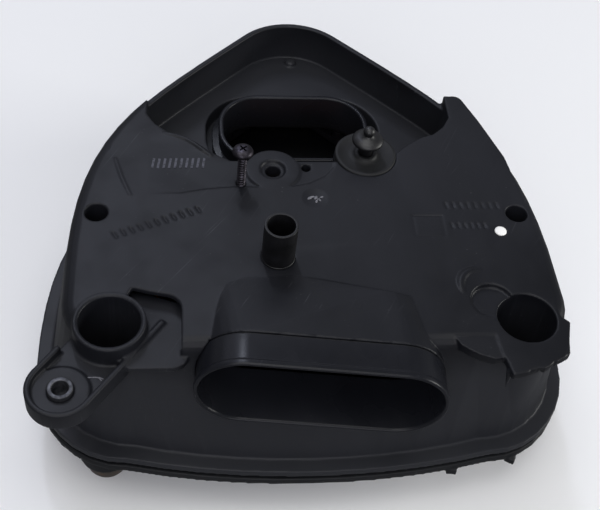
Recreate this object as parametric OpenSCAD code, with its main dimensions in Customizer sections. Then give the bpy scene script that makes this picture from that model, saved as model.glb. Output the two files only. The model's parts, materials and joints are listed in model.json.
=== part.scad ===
// Air filter housing: a moulded case shaped like a rounded arrowhead, with a wide
// inlet mouth at the front, an oval outlet funnel in the nose, and a panel filter inside.
// X runs across the case, Y points to the nose, Z is up. The base stands on Z = 0.

/* [Case] */
// Half width of the deck at its widest
deck_half_w = 110; // [106:1:114]
// Height of the deck above the surface the case stands on
deck_z = 106; // [104:1:108]
// Wall thickness of the mouldings
wall = 3; // [2.5:0.1:3.5]
// Height of the base flange's underside
flange_z = 26; // [24:1:28]
// Thickness of each flange
flange_t = 4; // [3:0.5:5]
// Thickness of the seal between the flanges
seal_t = 3; // [2:0.5:4]

/* [Nose tray] */
// Height of the tray floor behind the deck
tray_z = 78; // [76:1:80]
// Height of the fence around the tray
fence_z = 101; // [98:1:104]
// Width and depth of the oval opening
opening_size = [92, 57];
// Height of the rim round the oval opening
rim_z = 85; // [83:1:87]

/* [Funnel] */
// Outer width and depth of the funnel's lip
funnel_size = [79, 50];
// Height of the lip
lip_z = 83; // [82:0.5:85]
// Height of the ledge that carries the funnel's seal
ledge_z = 69; // [68:1:74]
// Wall thickness of the funnel
funnel_wall = 2; // [1.5:0.1:2.5]

/* [Inlet] */
// Width and height of the inlet collar
inlet_size = [107.5, 43];
// Length of the collar in front of its joint
collar_len = 17; // [15:1:20]
// Turn of the inlet to the left
inlet_yaw = 5; // [0:1:8]
// Tilt of the inlet, right side down
inlet_roll = 2; // [0:0.5:3]

/* [Fittings] */
// Outside diameter of the breather spigot
spigot_d = 15; // [12:0.5:16]
// Height of the spigot above the deck
spigot_h = 21; // [15:1:25]
// Diameter of the frame wells
well_d = 26.2; // [25:0.1:28]
// Diameter of the deep screw holes
screw_well_d = 10.4; // [10:0.1:11]
// Height that the loose screw stands above the deck
loose_screw_h = 19; // [10:1:20]
// Radius of the mounting arm's round end
arm_end_r = 14.5; // [13:0.5:16]

/* [Filter] */
// Width and depth of the filter element
element_size = [150, 98];
// Height of the filter element
element_h = 26; // [20:1:28]
// Distance from one pleat to the next
pleat_pitch = 6; // [5:0.5:8]

/* [Hidden] */
$fn = 64;

// Outline sizes: nose y, flank x, flank y, flank reach, half width, side y, side reach,
// corner start y, corner x, corner y, front y.
deck_p = [123, 24, 113, 62, deck_half_w, -60, 90, -72, 84, -96, -96];
wall_p = [130, 26, 120, 70, deck_half_w + 11, -57, 91, -60, 80, -102.5, -111.5];
flange_p = [137, 28, 126, 72, deck_half_w + 18, -57, 91, -60, 84, -109.5, -118.5];
base_p = [113, 24, 103, 52, deck_half_w - 6, -52, 74, -56, 66, -86, -94];

seal_z = flange_z + flange_t;
upper_z = seal_z + seal_t;
wall_z = upper_z + flange_t;
seat_inset = 17.5;
screw_inset = 13.5;
well_wall = 2.5;
opening_at = [0, 60];
boss_at = [-16, 6];
stud_at = [30, 17];
grommet_h = 3;
screw_at = [-31.6, -2.6];
peep_at = [0, 7.6];
spigot_at = [-17, -48.5];
spigot_neck_r = 7.15;
plug_at = [88, -33.3];
plug_r = 2.6;
screw_well_at = [98, -22];
well_at = [90, -83.5];
// Sockets of the frame bushes in the base. The left one is set further out than the well above it.
sockets = [[-95, -89.5], [90, -83.5]];
bush_r = 10.5;
foot_r = 9.8;
ear_at = [77.5, 54];
edge_pts = [[80.7, 55.5], [86.8, 39.7], [91, 26.5], [94.9, 14.7], [98.6, -13.4]];
arm_end = [-109, -112];
arm_turn = 53.1;
arm_len = 48;
rib_len = [51, 24];
// Distance from the arm's hole to the plane where the arm joins the case, and the gap left there
arm_joint = 15;
joint_gap = 0.02;
arm_z = 96;
arm_t = 5;
rib_t = 2.4;
pocket_z = 99;
hood_at = [0, -97, 90];
channel_x = 56;
bulkhead_y = -60;
element_at = [0, -5];
head_seat_z = 44;
drain_at = [0, 113, 11];

function lerp(a, b, t) = a + (b - a) * t;
function mix3(p, t) = (1 - t) * (1 - t) * (1 - t) * p[0] + 3 * t * (1 - t) * (1 - t) * p[1]
    + 3 * t * t * (1 - t) * p[2] + t * t * t * p[3];
function arc_pts(p, n) = [for (i = [0 : n - 1]) mix3(p, i / n)];
// Right half of the outline, from the nose round to the middle of the front.
function half_pts(p) = concat(
    arc_pts([[0, p[0]], [p[1] * 0.375, p[0]], [p[1] - 6.4, p[2] + 6.4], [p[1], p[2]]], 8),
    arc_pts([[p[1], p[2]], [p[1] + p[3], p[2] - p[3]], [p[4], p[5] + p[6]], [p[4], p[5]]], 14),
    arc_pts([[p[4], p[7]], [p[4], lerp(p[7], p[9], 0.55)], [lerp(p[8], p[4], 0.55), p[9]], [p[8], p[9]]], 8),
    arc_pts([[p[8], p[9]], [p[8] * 0.67, lerp(p[9], p[10], 0.7)], [p[8] * 0.33, p[10]], [0, p[10]]], 5));
function flip(q) = [-q[0], q[1]];
function full_pts(p) = let (h = half_pts(p), n = len(h))
    concat(h, [[0, p[10]]], [for (i = [n - 1 : -1 : 1]) flip(h[i])]);
// The outline moved inwards by d.
function inset_pts(q, d) = let (n = len(q))
    [for (i = [0 : n - 1]) let (v = q[(i + 1) % n] - q[(i + n - 1) % n]) q[i] + d * [v[1], -v[0]] / norm(v)];
function ring(p, d) = inset_pts(full_pts(p), d);
function ring_z(p, d, z) = [for (q = ring(p, d)) [q[0], q[1], z]];

// A closed solid through stacked rings that have the same number of points.
module loft(rings) {
    n = len(rings[0]);
    m = len(rings);
    sides = [for (k = [0 : m - 2], i = [0 : n - 1], h = [0, 1]) let (j = (i + 1) % n)
        h == 0 ? [k * n + i, k * n + j, (k + 1) * n + j] : [k * n + i, (k + 1) * n + j, (k + 1) * n + i]];
    bottom = [[for (i = [n - 1 : -1 : 0]) i]];
    top = [[for (i = [0 : n - 1]) (m - 1) * n + i]];
    polyhedron([for (r = rings) each r], concat(sides, bottom, top));
}

// Walls of the case between the wall foot (t = 0) and the deck (t = 1).
function case_p(t) = (1 - t) * wall_p + t * deck_p;
function level_t(z) = (z - wall_z) / (deck_z - wall_z);
function case_ring(z, d) = ring_z(case_p(level_t(z)), d, z);

module slab(p, d, z, h) {
    translate([0, 0, z]) linear_extrude(h) polygon(ring(p, d));
}

// A rectangle with round corners, made of true arcs.
module rounded(size, r) {
    square([size[0] - 2 * r, size[1]], center = true);
    square([size[0], size[1] - 2 * r], center = true);
    for (x = [-1, 1], y = [-1, 1])
        translate([x * (size[0] / 2 - r), y * (size[1] / 2 - r)]) circle(r);
}

// The funnel's oval at height z, grown by g on every side.
module oval(size, g, z, h) {
    translate([opening_at[0], opening_at[1], z]) linear_extrude(h)
        rounded([size[0] + 2 * g, size[1] + 2 * g], size[1] * 0.44 + g);
}

// A slice of the inlet's stadium section, starting at distance y in front of the joint.
module stadium(g, y, len, size = inlet_size) {
    translate(hood_at) rotate([0, inlet_roll, -inlet_yaw]) translate([0, -y, 0]) rotate([90, 0, 0])
        linear_extrude(len) rounded([size[0] + 2 * g, size[1] + 2 * g], size[1] / 2 + g - 0.01);
}

module at_sides(p) {
    for (s = [-1, 1]) translate([s * p[0], p[1]]) children();
}

module at_sockets() {
    for (q = sockets) translate([q[0], q[1]]) children();
}

module pipe(ro, ri, z, h) {
    translate([0, 0, z]) difference() {
        cylinder(r = ro, h = h);
        translate([0, 0, -1]) cylinder(r = ri, h = h + 2);
    }
}

// Places on the flange for its screws.
screw_steps = [9, 16, 22, 31];
function flange_screw_pts() = let (q = ring(flange_p, screw_inset))
    concat([for (i = screw_steps) q[i]], [for (i = screw_steps) flip(q[i])]);

// Plan of the tray behind the deck, from its front edge to beyond the nose.
tray_edge = [[76, 62], [76, 44], [72, 37], [66, 31.5], [60, 29.5], [52, 24], [45, 17.5], [36, 12]];
module tray_plan() {
    n = len(tray_edge);
    polygon(concat([[78, 150]], tray_edge, [for (i = [n - 1 : -1 : 0]) flip(tray_edge[i])], [[-78, 150]]));
}

module tray_void() {
    intersection() {
        loft([case_ring(tray_z, wall), case_ring(deck_z + 4, wall)]);
        translate([0, 0, tray_z]) linear_extrude(50) tray_plan();
    }
    translate([0, 0, fence_z]) linear_extrude(20) tray_plan();
}

module arm_plan(d) {
    translate(arm_end) rotate(arm_turn) {
        circle(arm_end_r - d);
        translate([0, d - arm_end_r]) square([arm_len, 2 * (arm_end_r - d)]);
        translate([arm_len, 0]) circle(arm_end_r - d);
    }
}

// The rib round the arm's end, which runs out along both of its sides.
module arm_rib() {
    translate(arm_end) rotate(arm_turn) difference() {
        union() {
            circle(arm_end_r);
            translate([0, -arm_end_r]) square([rib_len[0], arm_end_r]);
            square([rib_len[1], arm_end_r]);
        }
        circle(arm_end_r - rib_t);
        translate([0, rib_t - arm_end_r]) square([arm_len + 20, 2 * (arm_end_r - rib_t)]);
    }
}

// Left corner of the deck, lowered round the frame well to carry the arm.
function arc_at(c, r, a, b, n) = [for (i = [0 : n]) c + r * [cos(lerp(a, b, i / n)), sin(lerp(a, b, i / n))]];
pocket_pts = concat([[-81, -65.5], [-74, -67.6]], arc_at([-68, -77], 8, 80, 0, 6),
    [[-60, -130], [-130, -130], [-130, -87], [-106, -87], [-90, -83.5]]);
plate_pts = concat([[-84, -62], [-73, -64.5], [-60, -69], [-57, -77]], arc_at([-64, -96], 7, 0, -90, 6),
    [[-82, -103], [-100, -88]]);

// Right corner of the deck, with the torn root of the missing second arm.
torn_pts = [[74, -88], [75.5, -102], [76.5, -107], [77.8, -113.5], [85, -112], [89, -110.2], [92, -110.4],
            [99.4, -106.2], [104.9, -103.2], [106.3, -96], [109, -86], [100, -78]];
shoulder_pts = [[54, -88], [58, -97.2], [62, -100.4], [66, -102.8], [72, -105], [76.4, -104.2], [80, -88]];

module case_shell() {
    difference() {
        loft([case_ring(upper_z, 0), case_ring(deck_z - 4.5, 0), case_ring(deck_z - 2.6, 0.6),
              case_ring(deck_z - 0.9, 2), case_ring(deck_z, 4.5)]);
        difference() {
            loft([case_ring(upper_z - 1, wall), case_ring(deck_z - wall - 2, wall),
                  case_ring(deck_z - wall, wall + 2)]);
            translate([0, 0, tray_z - wall]) linear_extrude(40) offset(delta = wall) tray_plan();
            translate([-channel_x - wall, -130, 0]) cube([2 * channel_x + 2 * wall, 130 + bulkhead_y + wall, 120]);
        }
    }
    difference() {
        slab(flange_p, 0, upper_z, flange_t);
        slab(flange_p, seat_inset, upper_z - 1, flange_t + 2);
    }
}

module hood(g, y0) {
    hull() {
        stadium(g, 0, 0.2, $fn = 32);
        translate([-3, y0 - 12, 88.5]) rotate([90, -inlet_roll, -inlet_yaw]) linear_extrude(0.2)
            rounded([104 + 2 * g, 39 + 2 * g], 19.4 + g, $fn = 32);
        translate([-26, y0, 88.5]) rotate([90, -inlet_roll, -inlet_yaw]) linear_extrude(0.2)
            rounded([46 + 2 * g, 33 + 2 * g], 16.4 + g, $fn = 32);
    }
}

module upper_solid() {
    case_shell();
    hood(0, -56);
    // Raised hill round the oval opening, and the ledge that carries the funnel
    hull() {
        oval(opening_size, 8, tray_z - 1, 1);
        oval(opening_size, 2.5, rim_z - 0.5, 0.5);
    }
    oval(opening_size, 2.5, ledge_z - wall, tray_z - ledge_z + wall);
    // Boss, stud tower and posts
    translate([boss_at[0], boss_at[1], tray_z - wall]) cylinder(r = 13, h = deck_z - tray_z + wall);
    translate([stud_at[0], stud_at[1], tray_z - wall])
        cylinder(r = 15.3, h = deck_z - grommet_h - tray_z + wall);
    at_sides(screw_well_at) translate([0, 0, upper_z]) cylinder(r = 7, h = deck_z - upper_z - 1);
    at_sides(well_at) translate([0, 0, upper_z]) cylinder(r = well_d / 2 + well_wall, h = deck_z - upper_z);
    // Ear beside the tray, and the edge of the deck that runs back from it
    translate([ear_at[0], ear_at[1], tray_z]) cylinder(r = 6.5, h = deck_z - tray_z);
    hull() for (q = edge_pts) translate([q[0], q[1], deck_z - 5]) cylinder(r1 = 5.5, r2 = 5, h = 5);
    for (q = flange_screw_pts()) translate([q[0], q[1], upper_z]) cylinder(r = 4, h = 10);
    // Lowered corner and the root of the arm that grows out of it
    translate([0, 0, pocket_z - wall]) linear_extrude(wall) polygon(plate_pts);
    translate([0, 0, arm_z - arm_t]) linear_extrude(arm_t) arm_plan(0);
    translate([79, -78, deck_z - 6]) cylinder(r = 15, h = 5.5);
    translate([0, 0, deck_z - 4]) linear_extrude(4) polygon(torn_pts);
    translate([0, 0, deck_z - 5]) linear_extrude(4.6) polygon(shoulder_pts);
}

module upper_case() {
    color("#2b2b2e") difference() {
        union() {
            difference() {
                upper_solid();
                tray_void();
                // Lowered corner: the deck is cut away round the left frame well
                difference() {
                    translate([0, 0, pocket_z]) linear_extrude(30) polygon(pocket_pts);
                    translate([-well_at[0], well_at[1], 0]) cylinder(r = well_d / 2 + well_wall, h = 200);
                }
            }
            difference() {
                translate([boss_at[0], boss_at[1], tray_z - wall]) cylinder(r = 13, h = deck_z - tray_z + wall);
                translate([0, 0, deck_z]) cube([300, 300, 1], center = true);
            }
            translate([stud_at[0], stud_at[1], tray_z - wall])
                cylinder(r = 15.3, h = deck_z - grommet_h - tray_z + wall);
            arm_side_ribs();
        }
        arm_block(arm_joint + joint_gap);
        // Inlet channel, open to the base
        hood(-2.5, -59);
        // Seat of the collar's sleeve, and room for the collar in front of its joint
        stadium(-2.4, -8.3, 9);
        stadium(0.15, 0.1, 25);
        intersection() {
            loft([case_ring(upper_z - 1, wall), case_ring(95, wall)]);
            translate([-channel_x, -130, 0]) cube([2 * channel_x, 130 + bulkhead_y, 120]);
        }
        // Oval opening with its ledge
        oval(opening_size, 0, ledge_z, 30);
        oval(funnel_size, 1.2, 60, 30);
        // Holes through the deck
        translate([boss_at[0], boss_at[1], 60]) cylinder(r = 3.6, h = 60);
        translate([boss_at[0], boss_at[1], 84]) cylinder(r = 5, h = 12);
        translate([boss_at[0], boss_at[1], deck_z - 1.5]) cylinder(r = 5.8, h = 5);
        translate([stud_at[0], stud_at[1], 60]) cylinder(r = 3.2, h = 60);
        translate([stud_at[0], stud_at[1], deck_z - grommet_h - 0.02]) cylinder(r = 15.1, h = 8);
        translate([screw_at[0], screw_at[1], 60]) cylinder(r = 2.1, h = 60);
        translate([peep_at[0], peep_at[1], 60]) cylinder(r = 2.2, h = 60);
        translate([spigot_at[0], spigot_at[1], 60]) cylinder(r = spigot_neck_r + 0.02, h = 60);
        translate([spigot_at[0], spigot_at[1], deck_z - 8.1]) cylinder(r = spigot_d / 2 + 1.55, h = 5.12);
        translate([plug_at[0], plug_at[1], 60]) cylinder(r = plug_r, h = 60);
        // Sloping dish beside the right frame well
        translate([76.3, -74.3, deck_z - 1.4]) rotate([-7, -2, 0]) cylinder(r = 9.5, h = 8);
        at_sides(screw_well_at) translate([0, 0, head_seat_z]) cylinder(d = screw_well_d, h = 80);
        at_sides(screw_well_at) cylinder(r = 2.7, h = 80);
        at_sides(well_at) cylinder(d = well_d, h = 150);
        for (q = flange_screw_pts()) translate([q[0], q[1], upper_z - 1]) cylinder(r = 2.05, h = 10);
    }
}

// Straight ribs along both sides of the arm.
module arm_side_ribs() {
    translate([arm_end[0], arm_end[1], arm_z - 1]) rotate(arm_turn) {
        translate([0, -arm_end_r, 0]) cube([rib_len[0], rib_t, pocket_z + 2.5 - arm_z]);
        translate([0, arm_end_r - rib_t, 0]) cube([rib_len[1], rib_t, pocket_z + 2.5 - arm_z]);
    }
}

// Everything from the arm's end to distance reach along the arm.
module arm_block(reach) {
    translate([arm_end[0], arm_end[1], 80]) rotate(arm_turn) translate([-30, -25, 0])
        cube([30 + reach, 50, 40]);
}

// The arm's end. It is moulded in one with the upper case.
module mounting_arm() {
    color("#2b2b2e") difference() {
        intersection() {
            union() {
                translate([0, 0, arm_z - arm_t]) linear_extrude(arm_t) arm_plan(0);
                translate([arm_end[0], arm_end[1], arm_z - 8]) cylinder(r = 8, h = 8);
                translate([arm_end[0], arm_end[1], arm_z - 1]) cylinder(r = 12, h = 2.2);
                translate([0, 0, arm_z - 1]) linear_extrude(pocket_z + 2.5 - arm_z) arm_rib();
            }
            arm_block(arm_joint);
        }
        translate([arm_end[0], arm_end[1], 60]) cylinder(r = 5.32, h = 60);
    }
}

module inlet_collar() {
    color("#34353a") difference() {
        union() {
            stadium(0, 1, collar_len - 1);
            stadium(0.6, collar_len - 3, 3);
            stadium(-2.6, -8, 12);
        }
        stadium(-4.6, -10, collar_len + 12);
        stadium(-1.8, 3, collar_len);
    }
}

module collar_seal() {
    color("#111111") difference() {
        stadium(-0.6, 0.2, 0.8);
        stadium(-2.5, -1, 4);
    }
}

module funnel() {
    color("#3a3a3e") difference() {
        union() {
            oval(funnel_size, -0.6, 62, lip_z - 62 - 1);
            oval(funnel_size, 0, lip_z - 2, 2);
            oval(funnel_size, 3.2, ledge_z + seal_t, 2);
        }
        oval(funnel_size, -0.6 - funnel_wall, 60, 40);
    }
}

module funnel_seal() {
    color("#151515") difference() {
        oval(funnel_size, 3.2, ledge_z, seal_t);
        oval(funnel_size, -0.5, ledge_z - 1, 10);
    }
}

module breather_spigot() {
    color("#17171a") translate([spigot_at[0], spigot_at[1], 0]) difference() {
        union() {
            translate([0, 0, deck_z + 0.3]) cylinder(d = spigot_d, h = spigot_h - 0.3);
            translate([0, 0, deck_z - 8]) cylinder(r = spigot_neck_r, h = 9);
            translate([0, 0, deck_z - 8]) cylinder(d = spigot_d + 3, h = 5);
        }
        translate([0, 0, deck_z - 10]) cylinder(d = spigot_d - 2.6, h = spigot_h + 12);
    }
}

module boss_insert() {
    color("#b08d4a") translate([boss_at[0], boss_at[1], 0]) pipe(5, 2.5, 84, 12);
}

module snap_stud() {
    color("#1d1d20") translate([stud_at[0], stud_at[1], 0]) rotate_extrude()
        polygon([[0, 92], [3.15, 92], [3.15, deck_z + 5], [4.4, deck_z + 7.5], [7.7, deck_z + 9],
                 [7.7, deck_z + 10.4], [4.6, deck_z + 12], [2.6, deck_z + 12.6], [2.9, deck_z + 14],
                 [2.7, deck_z + 15.6], [1.7, deck_z + 16.8], [0, deck_z + 17.2]]);
}

module stud_grommet() {
    color("#2f2f33") translate([stud_at[0], stud_at[1], 0]) difference() {
        union() {
            translate([0, 0, deck_z - grommet_h]) cylinder(r = 15, h = grommet_h);
            translate([0, 0, deck_z - 0.5]) cylinder(r = 5.5, h = 1.7);
        }
        translate([0, 0, 80]) cylinder(r = 3.2, h = 40);
    }
}

module loose_screw() {
    color("#a9a9a6") translate([screw_at[0], screw_at[1], deck_z + loose_screw_h]) difference() {
        union() {
            translate([0, 0, -28]) cylinder(r = 2, h = 28.5);
            rotate_extrude() polygon([[0, 0], [4.9, 0], [4.9, 1.1], [4.1, 2.4], [2.6, 3], [0, 3.1]]);
        }
        for (a = [0, 90]) rotate(a) translate([-2.6, -0.55, 1.4]) cube([5.2, 1.1, 3]);
    }
}

module arm_sleeve() {
    color("#8d9096") translate([arm_end[0], arm_end[1], 0]) pipe(5.3, 3.5, arm_z - 10, 13.5);
}

module case_screws() {
    color("#8a8c90") at_sides(screw_well_at) difference() {
        union() {
            translate([0, 0, 12]) cylinder(r = 2.4, h = head_seat_z - 11);
            translate([0, 0, head_seat_z]) cylinder(r = 4.4, h = 4);
        }
        translate([0, 0, head_seat_z + 1.5]) cylinder(r = 2.3, h = 4, $fn = 6);
    }
}

module deck_plug() {
    color("#f2f1ec") translate([plug_at[0], plug_at[1], 0]) {
        translate([0, 0, deck_z - wall - 1.5]) cylinder(r = plug_r - 0.02, h = wall + 1.5);
        translate([0, 0, deck_z]) cylinder(r1 = plug_r + 0.2, r2 = plug_r - 0.2, h = 0.4);
    }
}

module case_gasket() {
    color("#0f0f10") difference() {
        slab(flange_p, 2, seal_z, seal_t);
        slab(flange_p, 6, seal_z - 1, seal_t + 2);
    }
}

module window_plan(d) {
    translate(element_at) square([element_size[0] - 2 * d, element_size[1] - 2 * d], center = true);
}

module seat_plate() {
    color("#232326") difference() {
        slab(flange_p, seat_inset + 0.3, seal_z, seal_t);
        translate([0, 0, seal_z - 1]) linear_extrude(seal_t + 2) window_plan(9);
        translate([-channel_x + 3, -93, seal_z - 1]) cube([2 * channel_x - 6, 30, seal_t + 2]);
        at_sides(screw_well_at) translate([0, 0, seal_z - 1]) cylinder(r = 2.8, h = 10);
        at_sides(well_at) translate([0, 0, seal_z - 1]) cylinder(r = well_d / 2, h = 10);
    }
}

module support_grid() {
    bar = 1.2;
    win = element_size - [18, 18];
    color("#7d8085") translate([element_at[0], element_at[1], seal_z + 0.8]) {
        for (i = [-5 : 5]) translate([i * 12, 0, bar / 2]) cube([bar, win[1], bar], center = true);
        for (j = [-3 : 3]) translate([0, j * 11, bar / 2]) cube([win[0], bar, bar], center = true);
    }
}

module filter_frame() {
    color("#c2562c") translate([0, 0, upper_z]) difference() {
        linear_extrude(element_h) window_plan(0.5);
        translate([0, 0, -1]) linear_extrude(element_h + 2) window_plan(9);
    }
}

// Pleated paper: a zigzag band of even thickness.
module filter_media() {
    w = element_size[0] - 18;
    n = floor(w / pleat_pitch);
    step = w / n;
    t = 1.4;
    low = 2;
    high = element_h - 2 - t;
    zig = [for (i = [0 : 2 * n]) [-w / 2 + i * step / 2, i % 2 == 0 ? low : high]];
    back = [for (i = [2 * n : -1 : 0]) [-w / 2 + i * step / 2, (i % 2 == 0 ? low : high) + t * 1.6]];
    color("#d9cfae") translate([element_at[0], element_at[1], upper_z]) rotate([90, 0, 0])
        translate([0, 0, -(element_size[1] - 18) / 2]) linear_extrude(element_size[1] - 18)
            polygon(concat(zig, back));
}

// Hollow of the base, kept clear of the bush sockets, the wells and the screw bosses.
module base_hollow() {
    difference() {
        loft([ring_z(base_p, wall + 1, wall), ring_z(base_p, wall, seal_z + 5)]);
        at_sockets() cylinder(r = bush_r + 2 * well_wall + 0.5, h = 80);
        at_sides(well_at) translate([0, 0, flange_z]) cylinder(r = well_d / 2 + well_wall, h = 80);
        at_sides(screw_well_at) cylinder(r = 7, h = seal_z + 10);
    }
}

module base_cover() {
    color("#26262a") difference() {
        union() {
            loft([ring_z(base_p, 3.5, 0), ring_z(base_p, 1, 2.5), ring_z(base_p, 0, flange_z + 1)]);
            slab(flange_p, 0, flange_z, flange_t);
            at_sockets() translate([0, 0, 12]) cylinder(r = bush_r + well_wall, h = seal_z - 12);
            translate([0, drain_at[1] - 4, drain_at[2]]) rotate([-90, 0, 0]) cylinder(r = 5, h = 18);
        }
        base_hollow();
        at_sockets() translate([0, 0, -1]) cylinder(r = bush_r, h = 60);
        at_sockets() translate([0, 0, -1]) cylinder(r = bush_r + well_wall + 0.5, h = 13);
        at_sides(screw_well_at) translate([0, 0, 10]) cylinder(r = 2.7, h = 40);
        at_sides(screw_well_at) translate([0, 0, seal_z - 12]) cylinder(r = 3.6, h = 40);
        for (q = flange_screw_pts()) translate([q[0], q[1], flange_z - 1]) cylinder(r = 2.3, h = 20);
        translate([0, drain_at[1] - 15, drain_at[2]]) rotate([-90, 0, 0]) cylinder(r = 3.4, h = 40);
    }
}

module base_inserts() {
    color("#b08d4a") at_sides(screw_well_at) pipe(3.6, 2.45, seal_z - 12, 12);
}

module flange_screws() {
    color("#8a8c90") for (q = flange_screw_pts()) translate([q[0], q[1], 0]) difference() {
        union() {
            translate([0, 0, flange_z]) cylinder(r = 2, h = 14);
            translate([0, 0, flange_z - 2.6]) cylinder(r = 4, h = 2.6);
        }
        for (a = [0, 90]) rotate(a) translate([-2.2, -0.5, flange_z - 4]) cube([4.4, 1, 2.6]);
    }
}

// Soft bushes under the corners of the flange.
module frame_bushes() {
    color("#8a5a34") at_sockets() difference() {
        union() {
            cylinder(r = foot_r, h = 12.5);
            translate([0, 0, 12]) cylinder(r = bush_r, h = seal_z - 12);
        }
        translate([0, 0, -1]) cylinder(r = 5.2, h = 60);
    }
}

module drain_cap() {
    color("#1a1a1a") translate([0, drain_at[1] + 3, drain_at[2]]) rotate([-90, 0, 0]) difference() {
        cylinder(r = 7, h = 17);
        translate([0, 0, -1]) cylinder(r = 5.05, h = 13.3);
    }
}

module drain_clip() {
    color("#c9b458") translate([0, drain_at[1] + 6, drain_at[2]]) rotate([-90, 0, 0]) difference() {
        cylinder(r = 8, h = 5);
        translate([0, 0, -1]) cylinder(r = 7, h = 7);
    }
}

upper_case();
mounting_arm();
inlet_collar();
collar_seal();
funnel();
funnel_seal();
breather_spigot();
boss_insert();
snap_stud();
stud_grommet();
loose_screw();
arm_sleeve();
case_screws();
deck_plug();
case_gasket();
seat_plate();
support_grid();
filter_frame();
filter_media();
base_cover();
base_inserts();
flange_screws();
frame_bushes();
drain_cap();
drain_clip();
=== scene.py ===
# %% [markdown]
# # Air filter housing
# The real object is a black moulded case from a motorcycle. An upper case sits on a base cover,
# a wide mouth lets the air in, and an oval funnel in the nose lets it out.
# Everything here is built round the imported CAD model, in metres and in its frame.

import json
import math
import random

import bmesh
import bpy
from mathutils import Matrix, Vector
from mathutils.bvhtree import BVHTree


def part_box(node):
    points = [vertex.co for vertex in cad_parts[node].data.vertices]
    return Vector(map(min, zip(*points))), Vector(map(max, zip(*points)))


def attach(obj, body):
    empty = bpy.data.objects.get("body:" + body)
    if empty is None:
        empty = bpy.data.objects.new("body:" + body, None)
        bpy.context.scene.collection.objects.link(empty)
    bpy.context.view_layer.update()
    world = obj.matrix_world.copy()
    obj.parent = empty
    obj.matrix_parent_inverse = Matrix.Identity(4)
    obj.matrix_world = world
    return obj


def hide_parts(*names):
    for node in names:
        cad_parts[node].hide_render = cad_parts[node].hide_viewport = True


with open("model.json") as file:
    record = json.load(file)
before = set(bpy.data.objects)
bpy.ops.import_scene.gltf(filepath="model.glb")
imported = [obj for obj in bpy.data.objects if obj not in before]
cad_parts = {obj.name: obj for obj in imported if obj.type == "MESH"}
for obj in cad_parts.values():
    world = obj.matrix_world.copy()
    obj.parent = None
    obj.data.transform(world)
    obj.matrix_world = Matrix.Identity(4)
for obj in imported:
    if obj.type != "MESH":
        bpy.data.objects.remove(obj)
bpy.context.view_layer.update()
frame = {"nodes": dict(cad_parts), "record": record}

# %% [markdown]
# ## Places and units
# Parts like these are drawn in millimetres, so every size below is in millimetres too.
# Places are read from the CAD nodes and mounts, so that a piece can't drift from its seat.

# %% Millimetres and places
MM = 0.001


def mm(x, y, z=0.0):
    """A point given in millimetres, in metres."""
    return Vector((x, y, z)) * MM


def middle(node):
    """Centre of a CAD node's box, in millimetres."""
    low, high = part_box(node)
    return (low + high) / 2 / MM


def top(node):
    """Height of a CAD node's highest point, in millimetres."""
    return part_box(node)[1].z / MM


def bottom(node):
    """Height of a CAD node's lowest point, in millimetres."""
    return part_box(node)[0].z / MM


mounts = {m["name"]: m for m in frame["record"]["mounts"]}
deck = top("stud_grommet") - 1.2
boss = middle("boss_insert")
stud = middle("snap_stud")
spigot = middle("breather_spigot")
arm = middle("arm_sleeve")
plug = middle("deck_plug")
opening = middle("funnel")
screw = middle("loose_screw")
well = Vector(mounts["right_bush_hole"]["pos_m"]) / MM
print("deck height", round(deck, 2), "mm; wells at", round(well.x, 1), round(well.y, 1))

# %% [markdown]
# ## Small mesh tools
# A lathe shape is a profile spun round a line. A wall round an oval is one ring of edges that is
# extruded and moved again and again. Many pieces then have their sharp edges rounded, because no moulded
# or turned part has a true corner, and the round is what catches the light.


# %% Make a mesh and show it as a piece
def to_mesh(bm, name):
    """Welds a bmesh, turns its faces outwards and empties it into a new mesh."""
    bmesh.ops.remove_doubles(bm, verts=bm.verts, dist=0.002 * MM)
    bmesh.ops.recalc_face_normals(bm, faces=bm.faces)
    mesh = bpy.data.meshes.new(name)
    bm.to_mesh(mesh)
    bm.free()
    return mesh


def show(mesh, name, body, material, stands_for=None, crease=35):
    """Puts a finished mesh in the scene, on its CAD body and in its material."""
    mesh.shade_smooth()
    mesh.set_sharp_from_angle(angle=math.radians(crease))
    mesh.materials.clear()
    mesh.materials.append(material)
    made = bpy.data.objects.new(name, mesh)
    bpy.context.scene.collection.objects.link(made)
    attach(made, body)
    if stands_for:
        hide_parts(stands_for)
    print(f"{name}: {len(mesh.polygons)} faces")
    return made


# %% Turn a profile on a lathe
def turned(bm, profile, at=(0, 0), steps=96):
    """Spins (radius, height) pairs round a vertical line. A profile off the line becomes a ring."""
    verts = [bm.verts.new(mm(at[0] + r, at[1], z)) for r, z in profile]
    pairs = list(zip(verts, verts[1:]))
    if profile[0][0] > 0:
        pairs.append((verts[-1], verts[0]))
    edges = [bm.edges.new(pair) for pair in pairs]
    bmesh.ops.spin(
        bm,
        geom=verts + edges,
        cent=mm(at[0], at[1]),
        axis=(0, 0, 1),
        angle=math.tau,
        steps=steps,
        use_merge=True,
    )


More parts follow.
